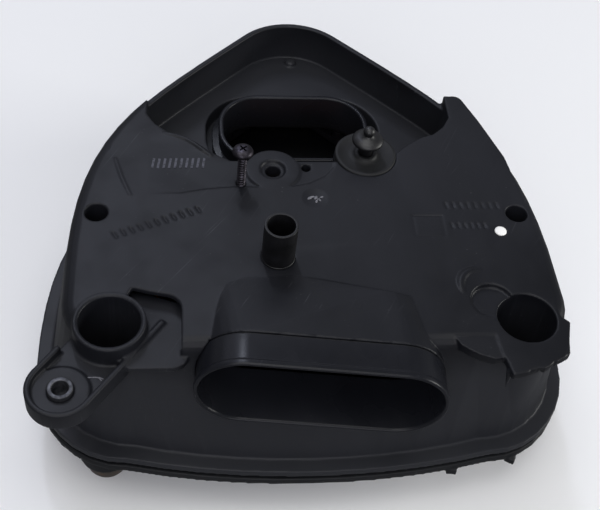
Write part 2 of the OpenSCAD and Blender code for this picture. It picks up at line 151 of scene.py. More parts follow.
# %% Sweep a profile round an oval
def oval_wall(bm, profile, straight, radius, place=Matrix.Identity(4), steps=128):
    """A closed wall round a rounded rectangle. The profile is (outwards, along) pairs in mm."""
    before = set(bm.verts)
    half_step = Matrix.Rotation(math.pi / steps, 4, "Z")
    made = bmesh.ops.create_circle(bm, radius=radius * MM, segments=steps, matrix=half_step)
    ring = made["verts"]

    def corner_of(v):
        return mm(math.copysign(straight[0], v.co.x), math.copysign(straight[1], v.co.y))

    for v in ring:
        v.co += corner_of(v)
    edges = [e for e in bm.edges if e.verts[0] in ring]
    for outwards, along in profile:
        if (outwards, along) != profile[0]:
            grown = bmesh.ops.extrude_edge_only(bm, edges=edges)["geom"]
            ring = [g for g in grown if isinstance(g, bmesh.types.BMVert)]
            inside = set(ring)
            edges = [g for g in grown if isinstance(g, bmesh.types.BMEdge) and set(g.verts) <= inside]
        for v in ring:
            corner = corner_of(v)
            out = Vector((v.co.x - corner.x, v.co.y - corner.y, 0)).normalized()
            v.co = corner + out * (radius + outwards) * MM + mm(0, 0, along)
    first = [v for v in bm.verts if v not in before and v not in ring]
    last_edges = edges
    bm.edges.ensure_lookup_table()
    first_edges = [e for e in bm.edges if e.is_boundary and e.verts[0] in first and e.verts[1] in first]
    bmesh.ops.bridge_loops(bm, edges=first_edges + last_edges)
    bmesh.ops.transform(bm, matrix=place, verts=[v for v in bm.verts if v not in before])


# %% Round the sharp edges
def soften(bm, radius, segments=3, angle=30):
    """Rounds every edge that is sharper than the angle."""
    bmesh.ops.remove_doubles(bm, verts=bm.verts, dist=0.002 * MM)
    bm.normal_update()
    limit = math.radians(angle)
    sharp = [e for e in bm.edges if e.is_manifold and e.calc_face_angle() > limit]
    bmesh.ops.bevel(
        bm,
        geom=sharp,
        offset=radius * MM,
        segments=segments,
        profile=0.5,
        affect="EDGES",
        clamp_overlap=True,
        material=-1,
    )


# %% Extrude a flat outline
def plate(bm, outline, low, high):
    """A flat plate with the given outline, from one height to another."""
    face = bm.faces.new([bm.verts.new(mm(x, y, low)) for x, y in outline])
    grown = bmesh.ops.extrude_face_region(bm, geom=[face])["geom"]
    risen = [g for g in grown if isinstance(g, bmesh.types.BMVert)]
    bmesh.ops.translate(bm, verts=risen, vec=mm(0, 0, high - low))


def bar(bm, centre, size, turn=0.0):
    """A small block, turned about the vertical."""
    place = Matrix.Translation(mm(*centre)) @ Matrix.Rotation(math.radians(turn), 4, "Z")
    stretch = Matrix.Diagonal((size[0] * MM, size[1] * MM, size[2] * MM, 1))
    bmesh.ops.create_cube(bm, size=1, matrix=place @ stretch)


# %% Run a bead along a line
def bead(bm, points, radius, sides=12):
    """A round bead through points in mm, closed at both ends."""
    curve = bpy.data.curves.new("bead", "CURVE")
    curve.dimensions = "3D"
    curve.bevel_depth = radius * MM
    curve.bevel_resolution = sides // 4
    curve.use_fill_caps = True
    line = curve.splines.new("POLY")
    line.points.add(len(points) - 1)
    for spot, place in zip(line.points, points):
        spot.co = (*mm(*place), 1)
    holder = bpy.data.objects.new("bead", curve)
    mesh = bpy.data.meshes.new_from_object(holder)
    bm.from_mesh(mesh)
    bpy.data.objects.remove(holder)
    bpy.data.meshes.remove(mesh)


def arc(centre, radius, start, end, z, steps=16):
    """Points along an arc, in mm and degrees."""
    turns = [math.radians(start + (end - start) * i / steps) for i in range(steps + 1)]
    return [(centre[0] + radius * math.cos(t), centre[1] + radius * math.sin(t), z) for t in turns]


# %% Use a modifier as a tool
def through(mesh, kind, **settings):
    """The mesh after one modifier."""
    holder = bpy.data.objects.new("work", mesh)
    bpy.context.scene.collection.objects.link(holder)
    tool = holder.modifiers.new("tool", kind)
    for name, value in settings.items():
        setattr(tool, name, value)
    graph = bpy.context.evaluated_depsgraph_get()
    result = bpy.data.meshes.new_from_object(holder.evaluated_get(graph))
    bpy.data.objects.remove(holder)
    return result


def cut(mesh, cutter, operation="DIFFERENCE", solver="MANIFOLD"):
    """The mesh with the cutter's shape taken away."""
    blade = bpy.data.objects.new("blade", cutter)
    bpy.context.scene.collection.objects.link(blade)
    result = through(mesh, "BOOLEAN", operation=operation, object=blade, solver=solver)
    bpy.data.objects.remove(blade)
    return result


def cad_copy(node):
    """A merged copy of a CAD node's mesh, ready to work on."""
    bm = bmesh.new()
    bm.from_mesh(frame["nodes"][node].data)
    bmesh.ops.remove_doubles(bm, verts=bm.verts, dist=0.002 * MM)
    return bm


# %% [markdown]
# ## Colours and nodes
# A colour is easiest to judge as a hex code, but Blender's nodes take linear light.
# One function turns the one into the other, and one function adds a node with its links.


# %% Colour and node tools
def colour(code):
    """An sRGB hex code as linear RGBA."""
    parts = [int(code[i : i + 2], 16) / 255 for i in (1, 3, 5)]
    return (*[p / 12.92 if p <= 0.04045 else ((p + 0.055) / 1.055) ** 2.4 for p in parts], 1.0)


def add(tree, kind, values=None, **settings):
    """Adds one node. Values go to its inputs, and a socket among them is linked."""
    made = tree.nodes.new("ShaderNode" + kind)
    for name, value in settings.items():
        setattr(made, name, value)
    for name, value in (values or {}).items():
        if isinstance(value, bpy.types.NodeSocket):
            tree.links.new(value, made.inputs[name])
        else:
            made.inputs[name].default_value = value
    return made


def start(name, **sockets):
    """A new material with a Principled shader, and the Object coordinates its patterns use."""
    material = bpy.data.materials.new(name)
    material.use_nodes = True
    tree = material.node_tree
    tree.nodes.clear()
    shader = add(tree, "BsdfPrincipled", sockets)
    add(tree, "OutputMaterial", {"Surface": shader.outputs["BSDF"]})
    place = add(tree, "TexCoord").outputs["Object"]
    return material, tree, shader, place


def noise(tree, place, size, detail=3.0, stretch=(1, 1, 1)):
    """Cloudy noise whose blotches are about size mm across, from 0 to 1."""
    mapped = add(tree, "Mapping", {"Vector": place, "Scale": stretch}).outputs["Vector"]
    values = {"Vector": mapped, "Scale": 1 / (size * MM), "Detail": detail}
    return add(tree, "TexNoise", values).outputs["Fac"]


def spread(tree, value, low, high, out_low=0.0, out_high=1.0):
    """Maps a value from one range to another, and clamps it."""
    values = {0: value, 1: low, 2: high, 3: out_low, 4: out_high}
    return add(tree, "MapRange", values).outputs["Result"]


def blend(tree, share, first, second, mode="MIX"):
    """Mixes two colours."""
    values = {0: share, 6: first, 7: second}
    return add(tree, "Mix", values, data_type="RGBA", blend_type=mode).outputs[2]


def relief(tree, height, depth, strength=1.0, under=None):
    """A bump whose full height is depth mm."""
    values = {"Height": height, "Distance": depth * MM, "Strength": strength}
    if under:
        values["Normal"] = under
    return add(tree, "Bump", values).outputs["Normal"]


def link(tree, shader, **sockets):
    """Links outputs to the shader's inputs, with underscores for spaces."""
    for name, output in sockets.items():
        tree.links.new(output, shader.inputs[name.replace("_", " ")])


# %% [markdown]
# ## Moulded polypropylene
# The case is injection moulded in black talc-filled polypropylene. Its skin is satin: the mould's
# fine grain scatters the light, the flow of the melt leaves long faint clouds, and years of
# handling leave pale hairline scratches and a little dust.
# A plain dark Principled shader would look like new rubber, so clouds, scratches, dust and grain
# are all drawn from noise, each at its real size.


# %% Moulded polypropylene
def moulded_polypropylene(name, dark, pale, gloss, dull_film_and_painted_lift):
    """Black PP: faint flow clouds, hairline scratches, dust, a 0.5 mm grain and a painted lift below the
    deck.
    """
    material, tree, shader, place = start(name, IOR=1.49)
    shader.inputs["Specular IOR Level"].default_value = 0.22
    clouds = noise(tree, place, 42, 4, (1.0, 0.45, 1.0))
    base = blend(tree, spread(tree, clouds, 0.35, 0.7), colour(dark), colour(pale))
    # Hairline scratches run two ways, each about 0.4 mm wide and 40 mm long
    scratches = None
    for turn, stretch in ((0.5, (1.0, 0.012, 0.3)), (-0.9, (0.012, 1.0, 0.3))):
        turned_place = add(tree, "Mapping", {"Vector": place, "Rotation": (0, 0, turn)})
        lines = noise(tree, turned_place.outputs["Vector"], 0.9, 1, stretch)
        patches = noise(tree, place, 30, 2)
        found = spread(tree, lines, 0.70, 0.78)
        kept = add(tree, "Math", {0: found, 1: spread(tree, patches, 0.52, 0.66)}, operation="MULTIPLY")
        if scratches is None:
            scratches = kept.outputs[0]
        else:
            both = add(tree, "Math", {0: scratches, 1: kept.outputs[0]}, operation="MAXIMUM")
            scratches = both.outputs[0]
    worn = blend(tree, spread(tree, scratches, 0, 1, 0, 0.5), base, colour("#4a4b50"))
    # Dust specks of about 0.5 mm, coarser than real dust so that they show
    specks = add(tree, "TexVoronoi", {"Vector": place, "Scale": 1 / (3.2 * MM)}).outputs["Distance"]
    dust = spread(tree, specks, 0.05, 0.11, 1, 0)
    dusty = noise(tree, place, 18, 2)
    dusty_share = spread(tree, dusty, 0.5, 0.75, 0, 0.35)
    dust_share = add(tree, "Math", {0: dust, 1: dusty_share}, operation="MULTIPLY")
    skin = blend(tree, dust_share.outputs[0], worn, colour("#6d6e70"))
    # Below the deck a painted lift greys the plastic: painted light that brightens the shaded tray, wells
    # and walls
    height = add(tree, "SeparateXYZ", {"Vector": place}).outputs["Z"]
    skin = blend(tree, spread(tree, height, 104 * MM, 82 * MM, 0, dull_film_and_painted_lift), skin, colour("#2e2f33"))
    grain = noise(tree, place, 0.5, 2)
    waves = noise(tree, place, 14, 2)
    normal = relief(tree, waves, 0.25, 0.35)
    normal = relief(tree, grain, 0.03, 0.4, normal)
    rough = spread(tree, clouds, 0.3, 0.75, gloss - 0.04, gloss + 0.07)
    rougher = add(tree, "Math", {0: rough, 1: spread(tree, dusty, 0.45, 0.8, 0, 0.1)}, operation="ADD")
    link(tree, shader, Base_Color=skin, Roughness=rougher.outputs[0], Normal=normal)
    return material


# The last number is the painted lift below the deck: strong on the upper case, slight on the base and the
# duct
case_plastic = moulded_polypropylene("black_polypropylene_moulded", "#121317", "#1b1c21", 0.42, 0.65)
base_plastic = moulded_polypropylene("black_polypropylene_base", "#0f1012", "#18191b", 0.46, 0.15)
duct_plastic = moulded_polypropylene("black_polypropylene_duct", "#121317", "#1b1c21", 0.26, 0.1)
print("polypropylene nodes:", len(case_plastic.node_tree.nodes))

# %% [markdown]
# ## Rubbers
# Moulded EPDM rubber is deep black and almost matt, with a bloom that greys it in patches.
# The brown bushes are cast polyurethane, which lets a little light in.


# %% Rubbers
def moulded_rubber(name, dark, bloom, gloss):
    """EPDM: black, nearly matt, greyed in patches by bloom."""
    material, tree, shader, place = start(name, IOR=1.52)
    shader.inputs["Specular IOR Level"].default_value = 0.35
    patches = noise(tree, place, 9, 3)
    skin = blend(tree, spread(tree, patches, 0.45, 0.75), colour(dark), colour(bloom))
    fine = noise(tree, place, 0.4, 2)
    rough = spread(tree, patches, 0.3, 0.8, gloss - 0.05, gloss + 0.1)
    link(tree, shader, Base_Color=skin, Roughness=rough, Normal=relief(tree, fine, 0.04, 0.5))
    return material


def cast_polyurethane():
    """Brown polyurethane: the light soaks in a little way, so thin edges look warm."""
    sockets = {"Roughness": 0.42, "IOR": 1.5, "Subsurface Weight": 0.25, "Subsurface Scale": 0.003}
    material, tree, shader, place = start("brown_polyurethane_cast", **sockets)
    shader.inputs["Subsurface Radius"].default_value = (1.0, 0.45, 0.18)
    streaks = noise(tree, place, 6, 3, (1, 1, 2.5))
    skin = blend(tree, streaks, colour("#2b2521"), colour("#4b3d31"))
    link(tree, shader, Base_Color=skin, Normal=relief(tree, streaks, 0.2, 0.4))
    return material


spigot_rubber = moulded_rubber("black_epdm_spigot", "#08080a", "#101014", 0.45)
seal_rubber = moulded_rubber("black_epdm_seal", "#0a0a0b", "#151517", 0.55)
grommet_rubber = moulded_rubber("grey_black_epdm_grommet", "#0a0b0d", "#131417", 0.6)
bush_rubber = cast_polyurethane()
print("rubbers ready")

# %% [markdown]
# ## Metals
# Zinc plate is a thin bright coat that dulls to dark grey, turned parts show fine tool rings,
# and brass darkens with age. All are metallic, and a dull film makes them rougher in patches.


# %% Metals
def plated_metal(name, bright, dull, gloss, ring_size):
    """A turned metal: fine tool rings, and a dull film that has spread over part of it."""
    material, tree, shader, place = start(name, Metallic=1.0)
    dull_film_and_painted_lift = noise(tree, place, 2.5, 4)
    skin = blend(tree, spread(tree, dull_film_and_painted_lift, 0.35, 0.7), colour(bright), colour(dull))
    rings = noise(tree, place, ring_size, 1, (0.05, 0.05, 1.0))
    rough = spread(tree, dull_film_and_painted_lift, 0.3, 0.75, gloss, gloss + 0.2)
    link(tree, shader, Base_Color=skin, Roughness=rough, Normal=relief(tree, rings, 0.02, 0.5))
    return material


screw_steel = plated_metal("dulled_zinc_steel", "#46434a", "#2a282b", 0.32, 0.15)
sleeve_steel = plated_metal("turned_steel_sleeve", "#66676c", "#414246", 0.5, 0.2)
insert_brass = plated_metal("turned_brass", "#7d6438", "#483a22", 0.4, 0.2)
grid_steel = plated_metal("galvanised_wire", "#9a9da1", "#6f7276", 0.40, 0.6)
clip_steel = plated_metal("yellow_zinc_spring_steel", "#c4ad55", "#8d7433", 0.30, 0.2)
print("metals ready")

# %% [markdown]
# ## Nylon, paint, foam and paper
# The stud and the plug are smooth moulded nylon. The paint mark is chalky. Inside, the filter's
# frame is orange cast foam with tiny pores, and its pleats are cream paper with loose fibres.


# %% Nylon
def moulded_nylon(name, first, second, gloss):
    """Nylon: a smooth skin with soft clouds, a little glossier than the case."""
    material, tree, shader, place = start(name, IOR=1.53)
    clouds = noise(tree, place, 5, 3)
    rough = spread(tree, clouds, 0.3, 0.7, gloss, gloss + 0.1)
    skin = blend(tree, clouds, colour(first), colour(second))
    link(tree, shader, Base_Color=skin, Roughness=rough, Normal=relief(tree, clouds, 0.05, 0.4))
    return material


stud_nylon = moulded_nylon("black_nylon_stud", "#09090b", "#121215", 0.38)
white_nylon = moulded_nylon("white_nylon_plug", "#f4f3ee", "#fbfaf7", 0.35)


# %% Paint, and whitened plastic with a painted shine
def chalky_film(name, skin, worn, size):
    """A thin pale film that has worn through in spots of the given size."""
    material, tree, shader, place = start(name, IOR=1.45, Roughness=0.7)
    spots = noise(tree, place, size, 4)
    mixed = blend(tree, spread(tree, spots, 0.52, 0.66), colour(skin), colour(worn))
    link(tree, shader, Base_Color=mixed, Normal=relief(tree, spots, 0.05, 0.5))
    return material


mark_paint = chalky_film("grey_marking_paint", "#484952", "#28292e", 1.4)
# The pale finish of the gate crumbs and the arm scuffs is partly whitened plastic and partly a painted
# highlight
whitened_and_painted_shine = chalky_film("whitened_plastic_and_painted_shine", "#6c6c72", "#3a3a3f", 0.8)


# %% Foam and paper
def cast_foam():
    """Orange polyurethane foam: soft, matt, pitted with pores of about 0.8 mm, with painted shade in each
    pore.
    """
    material, tree, shader, place = start("orange_polyurethane_foam", IOR=1.45, Roughness=0.75)
    cells = add(tree, "TexVoronoi", {"Vector": place, "Scale": 1 / (1.6 * MM)}).outputs["Distance"]
    pores = spread(tree, cells, 0.1, 0.4)
    clouds = noise(tree, place, 12, 3)
    body = blend(tree, clouds, colour("#b04a22"), colour("#c96a38"))
    # The darker orange inside each pore is painted shade
    skin = blend(tree, pores, colour("#7c3216"), body)
    link(tree, shader, Base_Color=skin, Normal=relief(tree, pores, 0.25, 0.6))
    return material


def filter_paper_sheet():
    """Resin-treated filter paper: cream, matt, with fibres about 0.4 mm wide."""
    material, tree, shader, place = start("cream_filter_paper", IOR=1.4, Roughness=0.85)
    fibres = noise(tree, place, 0.8, 3, (1, 0.15, 1))
    stains = noise(tree, place, 16, 3)
    body = blend(tree, fibres, colour("#cdbf95"), colour("#e6dcbd"))
    skin = blend(tree, spread(tree, stains, 0.5, 0.75, 0, 0.5), body, colour("#a3916a"))
    link(tree, shader, Base_Color=skin, Normal=relief(tree, fibres, 0.08, 0.6))
    return material


frame_foam = cast_foam()
filter_paper = filter_paper_sheet()
print("materials:", len(bpy.data.materials))

# %% [markdown]
# ## Upper case
# One large moulding carries the deck, the nose tray, the hood over the inlet, the frame wells and
# the mounting arm. The CAD node has the right shape but knife-sharp edges.
# The details that CAD leaves out are added as overlapping solids and cutters. Then a voxel remesh
# fuses them into one skin, a smoothing pass rounds each edge as a mould does, and decimation
# brings the face count down where the skin is flat.

# %% Details that stand up from the deck
raised = bmesh.new()
# The disc round the boss, left standing where the deck is lowered
disc_profile = [
    (6.2, deck - 4),
    (13.3, deck - 4),
    (13.2, deck - 0.3),
    (12.8, deck + 0.1),
    (6.2, deck + 0.1),
]
turned(raised, disc_profile, (boss.x, boss.y))
# Rolled rim of the left frame well, which stands alone where the deck is lowered
bead(raised, arc((-well.x, well.y), 14.6, 0, 360, deck - 0.7, 64), 1.0)
# A thin lip along the edge that drops into the nose tray, on the left
lip_line = [
    (-68, 30.4, deck - 0.6),
    (-62, 28.6, deck - 0.2),
    (-57, 26.1, deck),
    (-53, 22.8, deck),
    (-49, 18.6, deck - 0.1),
    (-45, 15, deck - 0.6),
]
bead(raised, lip_line, 1.0)
# A flow ridge beside the left edge
bead(raised, [(-90.6, 12.6, deck - 0.5), (-87, -0.5, deck - 0.3), (-83, -11.4, deck - 0.5)], 0.9)
# The swelling beside the right-hand pocket, which sinks into the deck towards both of its ends
swelling = arc((73, -65.6), 9.4, 78, 208, deck - 1.4)
for i, spot in enumerate(swelling):
    sunk = 1.5 * abs(i / (len(swelling) - 1) - 0.5) * 2
    swelling[i] = (spot[0], spot[1], spot[2] - sunk * sunk * 0.5)
bead(raised, swelling, 2.6)
print("raised details:", len(raised.faces), "faces")

# %% Tray nub and torn edge
gate = (2.7, -12.7)
tray_floor = 78
nub_profile = [
    (0, tray_floor - 1),
    (3, tray_floor - 1),
    (3, tray_floor + 1.6),
    (1.8, tray_floor + 2.4),
    (0, tray_floor + 2.4),
]
turned(raised, nub_profile, (2.4, 117))
# A hanging splinter under the torn corner
splinter = Matrix.Translation(mm(77.6, -110.2, 98)) @ Matrix.Rotation(math.radians(172), 4, "X")
bmesh.ops.create_cone(
    raised,
    cap_ends=True,
    segments=5,
    radius1=2.0 * MM,
    radius2=0.1 * MM,
    depth=12 * MM,
    matrix=splinter,
)
print("with nub and splinter:", len(raised.faces), "faces")

# %% Shapes cut out of the deck
carved = bmesh.new()
# The deck behind the step line is a little lower, and rises again towards the nose and the left
STEP = 0.8
step_line = [(-84, -10.6), (-60, -9.9), (-46, -6.8), (-32, -5.4), (-18, -6.2)]
step_line += [(-8, -5.4), (1, -3.2), (9, 1.5), (14, 8)]
far_line = [(17, 30), (-40, 34), (-66, 44), (-84, 36)]
lowered = bmesh.new()
plate(lowered, step_line + far_line, deck - STEP, deck + 3)
for v in lowered.verts:
    if v.co.z < deck * MM:
        far = max(0, (v.co.y / MM + 4) / 34, (-v.co.x / MM - 46) / 38)
        v.co.z += min(1.0, far) * 1.3 * STEP * MM
lowered_mesh = to_mesh(lowered, "lowered_deck")
# Dish of the gate
dish = Matrix.Translation(mm(gate[0], gate[1], deck + 1.1)) @ Matrix.Diagonal((1, 1, 0.24, 1))
bmesh.ops.create_uvsphere(carved, u_segments=40, v_segments=20, radius=7.6 * MM, matrix=dish)
print("carved shapes:", len(carved.faces), "faces")

# %% Blank mould marks
# The mould's raised and recessed marks are shown as plain bars and an empty frame
MARK_DEPTH = 0.65


def mark_row(bm, start_at, end_at, count, size, lean=0.0):
    """A row of equal recessed bars between two places on the deck."""
    turn = math.degrees(math.atan2(end_at[1] - start_at[1], end_at[0] - start_at[0]))
    for i in range(count):
        share = (i + 0.5) / count
        x = start_at[0] + (end_at[0] - start_at[0]) * share
        y = start_at[1] + (end_at[1] - start_at[1]) * share
        bar(bm, (x, y, deck), (size[0], size[1], 2 * MARK_DEPTH), turn + lean)


mark_row(carved, (-91, -36.5), (-50, -19.5), 11, (1.7, 4.8), 8)
mark_row(carved, (63, -17.2), (91, -17.2), 8, (1.5, 4.6), 8)
mark_row(carved, (64, -29.8), (82.5, -29.8), 6, (1.5, 4.2), 8)
# The frame's four sides stop just short of each other, since a cutter that overlaps itself fails
for side in (-1, 1):
    bar(carved, (54.5 + side * 6.9, -30, deck), (1.3, 11.6, 2 * MARK_DEPTH))
    bar(carved, (54.5, -30 + side * 6.5, deck), (15.1, 1.3, 2 * MARK_DEPTH))
print("with marks:", len(carved.faces), "faces")

# %% Chips along the torn corner
# The second arm has broken off, and left a rough edge: small blocks bite it at seeded angles
CHIP_SEED = 7
chips = random.Random(CHIP_SEED)
torn_line = [(78, -113), (85, -112.4), (90, -110.8), (96, -108.4), (102, -105), (105.4, -103)]
for (ax, ay), (bx, by) in zip(torn_line, torn_line[1:]):
    for _ in range(2):
        share = chips.random()
        spot = (ax + (bx - ax) * share, ay + (by - ay) * share, deck - 2 + chips.uniform(-2, 2))
        bite = chips.uniform(1.2, 2.2)
        bar(carved, spot, (bite, bite, chips.uniform(2, 5)), chips.uniform(0, 90))
# A small crack at the rim of the right-hand well
plate(carved, [(78.4, -83.6), (74.2, -84.9), (78.2, -85.2)], deck - 6, deck + 3)
print("with chips:", len(carved.faces), "faces")

# %% [markdown]
# The lowered area is cut first, and the dish, marks and chips after it. The details that stand up
# and the arm are then put in with the case, and a voxel remesh fuses them all into one skin, which
# doesn't mind that they overlap.


# %% Fuse, smooth and thin a moulding
def moulded_skin(mesh, voxel, passes, faces):
    """One continuous skin with rounded edges, from solids that overlap."""
    fused = through(mesh, "REMESH", mode="VOXEL", voxel_size=voxel * MM)
    smooth = through(fused, "SMOOTH", factor=0.5, iterations=passes)
    share = min(1.0, faces / (2 * len(smooth.polygons)))
    thin = through(smooth, "DECIMATE", decimate_type="COLLAPSE", ratio=share)
    print(f"{mesh.name}: {len(fused.polygons)} voxel faces, {len(thin.polygons)} kept")
    return thin


VOXEL = 0.55
case_mesh = cut(to_mesh(cad_copy("upper_case"), "upper_case_blank"), lowered_mesh)
case_mesh = cut(case_mesh, to_mesh(carved, "carved"))
solids = bmesh.new()
solids.from_mesh(case_mesh)
solids.from_mesh(to_mesh(raised, "raised"))
# The arm is moved a hair towards the case, to close the small gap at its joint
arm_copy = cad_copy("mounting_arm")
bmesh.ops.translate(arm_copy, verts=arm_copy.verts, vec=mm(0.04, 0.05))
solids.from_mesh(to_mesh(arm_copy, "arm"))
joined = bpy.data.meshes.new("upper_case_solids")
solids.to_mesh(joined)
solids.free()
SMOOTHING = 3
CASE_FACES = 190000
skin = moulded_skin(joined, VOXEL, SMOOTHING, CASE_FACES)
case = show(skin, "moulded_upper_case", "upper", case_plastic, "upper_case", crease=60)
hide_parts("mounting_arm")
skin_tree = BVHTree.FromPolygons([v.co for v in skin.vertices], [f.vertices for f in skin.polygons])


# %% Find a place on the skin
def on_skin(x, y, lift=0.0):
    """The point of the upper case's skin under a place, found by looking straight down."""
    spot = skin_tree.ray_cast(mm(x, y, 150), Vector((0, 0, -1)))[0]
    return (x, y, spot.z / MM + lift)


print("deck near the gate is at", round(on_skin(*gate)[2], 2), "mm")

# %% [markdown]
# ## Inlet collar
# The mouth is a separate moulding pushed into the hood, so a dark parting line shows round it.
# It has a small outer lip, and its inside narrows gently towards the hood. Its section never
# changes, so one profile swept round the oval gives the whole piece.

# %% Where the inlet points
inlet = mounts["inlet"]
inlet_way = Vector(inlet["axis"])
COLLAR_OUT = 17
COLLAR_ROLL = 2
joint = Vector(inlet["pos_m"]) - inlet_way * COLLAR_OUT * MM
yaw = math.atan2(inlet_way.x, -inlet_way.y)
inlet_place = (
    Matrix.Translation(joint)
    @ Matrix.Rotation(yaw, 4, "Z")
    @ Matrix.Rotation(math.radians(COLLAR_ROLL), 4, "Y")
    @ Matrix.Rotation(math.radians(90), 4, "X")
)
COLLAR_RADIUS = 21.49
COLLAR_STRAIGHT = (32.26, 0.01)
print("inlet turned", round(math.degrees(yaw), 1), "degrees")

# %% Collar and its seal
collar = bmesh.new()
collar_profile = [
    (0, 1), (0, 13.6), (0.5, 14.4), (0.5, 16.4), (0, COLLAR_OUT), (-0.9, COLLAR_OUT),
    (-1.5, 16), (-4.4, -6), (-4.6, -8), (-2.6, -8), (-2.6, 1),
]
oval_wall(collar, collar_profile, COLLAR_STRAIGHT, COLLAR_RADIUS, inlet_place, 160)
soften(collar, 0.6, 4, 20)
collar_mesh = to_mesh(collar, "collar")
show(collar_mesh, "inlet_mouth_collar", "upper", duct_plastic, "inlet_collar", 50)

ring = bmesh.new()
ring_profile = [(-0.7, 0.25), (-0.7, 0.95), (-2.5, 0.95), (-2.5, 0.25)]
oval_wall(ring, ring_profile, COLLAR_STRAIGHT, COLLAR_RADIUS, inlet_place, 160)
soften(ring, 0.2, 2)
show(to_mesh(ring, "ring"), "collar_seal_ring", "upper", seal_rubber, "collar_seal")

# %% [markdown]
# ## Outlet funnel
# The funnel stands in the oval opening, and its lip shows as a pale line round the dark throat.
# Below the ledge it flares, as real intake funnels do, so that the air turns in smoothly.

# %% Funnel and its seal
FUNNEL_RADIUS = 22
FUNNEL_STRAIGHT = (17.5, 3)
funnel_place = Matrix.Translation(mm(opening.x, opening.y))
lip = top("funnel")
ledge = bottom("funnel_seal")
funnel = bmesh.new()
funnel_profile = [
    (0.6, 60), (-0.2, 62), (-0.6, 64), (-0.6, ledge + 3), (3.2, ledge + 3), (3.2, ledge + 5),
    (-0.6, ledge + 5), (-0.6, lip - 2.2), (0, lip - 1.8), (0, lip - 0.4), (-0.6, lip), (-2.0, lip),
    (-2.6, lip - 0.6), (-2.6, 64), (-2.2, 62), (-1.2, 60),
]
oval_wall(funnel, funnel_profile, FUNNEL_STRAIGHT, FUNNEL_RADIUS, funnel_place, 160)
soften(funnel, 0.4, 3, 40)
show(to_mesh(funnel, "funnel"), "outlet_funnel", "upper", duct_plastic, "funnel", 50)

pad = bmesh.new()
pad_profile = [(-0.4, ledge + 0.1), (3.1, ledge + 0.1), (3.1, ledge + 2.9), (-0.4, ledge + 2.9)]
oval_wall(pad, pad_profile, FUNNEL_STRAIGHT, FUNNEL_RADIUS, funnel_place, 128)
soften(pad, 0.8, 4)
show(to_mesh(pad, "pad"), "funnel_seal_ring", "upper", seal_rubber, "funnel_seal")

# %% [markdown]
# ## Fittings on the deck
# The breather spigot, the snap stud with its rubber pad, the boss insert and the arm's sleeve are
# all round about their own lines, so each is one profile on the lathe.

# %% Breather spigot
tip = top("breather_spigot")
foot = bottom("breather_spigot")
tube = bmesh.new()
tube_profile = [
    (6.2, foot), (9, foot), (9, foot + 5), (7.2, foot + 5),
    (7.2, deck + 0.3), (7.5, deck + 0.8), (7.5, tip), (6.2, tip),
]
turned(tube, tube_profile, (spigot.x, spigot.y))
soften(tube, 0.45, 4)
# A small bead of rubber where the tube leaves the deck
foot_profile = [
    (7.0, deck - 0.6), (7.5, deck - 0.6), (7.7, deck),
    (7.65, deck + 0.4), (7.4, deck + 0.7), (7.0, deck + 0.7),
]
turned(tube, foot_profile, (spigot.x, spigot.y))
show(to_mesh(tube, "tube"), "breather_tube", "upper", spigot_rubber, "breather_spigot", 60)

# %% Snap stud
knob = bmesh.new()
shank_foot = bottom("snap_stud")
knob_profile = [
    (0, shank_foot), (2.6, shank_foot), (3.15, shank_foot + 0.8), (3.15, deck + 4.6), (4.2, deck + 6.8),
    (6.4, deck + 7.6), (7.5, deck + 8.6), (7.6, deck + 9.6), (7.0, deck + 10.5), (4.9, deck + 11.5),
    (3.0, deck + 12.1), (2.4, deck + 12.9), (2.7, deck + 13.9), (2.9, deck + 14.8), (2.6, deck + 15.9),
    (1.7, deck + 16.8), (0.7, deck + 17.15), (0, deck + 17.2),
]
turned(knob, knob_profile, (stud.x, stud.y), 72)
show(to_mesh(knob, "knob"), "snap_stud_knob", "upper", stud_nylon, "snap_stud", 50)

# %% Rubber pad under the stud
disc = bmesh.new()
pad_shape = [
    (3.3, deck - 3), (15, deck - 3), (15, deck - 0.1), (14.5, deck + 0.35), (13.4, deck + 0.4),
    (12.4, deck - 0.1), (8.4, deck - 0.5), (6.2, deck - 0.3), (5.5, deck + 0.6), (5.0, deck + 1.2),
    (3.6, deck + 1.2), (3.3, deck + 0.8),
]
turned(disc, pad_shape, (stud.x, stud.y))
disc_mesh = to_mesh(disc, "disc")
show(disc_mesh, "stud_grommet_pad", "upper", grommet_rubber, "stud_grommet", 60)

# %% Boss insert and arm sleeve
insert = bmesh.new()
low, high = bottom("boss_insert"), top("boss_insert")
turned(insert, [(2.5, low), (5, low), (5, high), (2.5, high)], (boss.x, boss.y), 64)
soften(insert, 0.4, 2)
show(to_mesh(insert, "insert"), "boss_thread_insert", "upper", insert_brass, "boss_insert")

sleeve = bmesh.new()
low, high = bottom("arm_sleeve"), top("arm_sleeve")
turned(sleeve, [(3.5, low), (5.3, low), (5.3, high), (3.5, high)], (arm.x, arm.y), 72)
soften(sleeve, 0.45, 3)
show(to_mesh(sleeve, "sleeve"), "arm_steel_sleeve", "upper", sleeve_steel, "arm_sleeve")

# %% Deck plug
button = bmesh.new()
low = bottom("deck_plug")
rim = (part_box("deck_plug")[1].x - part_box("deck_plug")[0].x) / 2 / MM
button_profile = [
    (0, low), (rim - 0.5, low), (rim - 0.3, low + 1), (rim - 0.3, deck),
    (rim, deck), (rim - 0.1, deck + 0.3), (rim - 0.8, deck + 0.5), (0, deck + 0.5),
]
turned(button, button_profile, (plug.x, plug.y), 48)
show(to_mesh(button, "button"), "white_deck_plug", "upper", white_nylon, "deck_plug", 60)

# %% [markdown]
# ## Screws
# The loose screw has a pan head with a cross recess, and a coarse thread that forms its own path
# in plastic. The thread is a small ridge spun round while it climbs, which is what spin does when
# it is given a step along its axis.


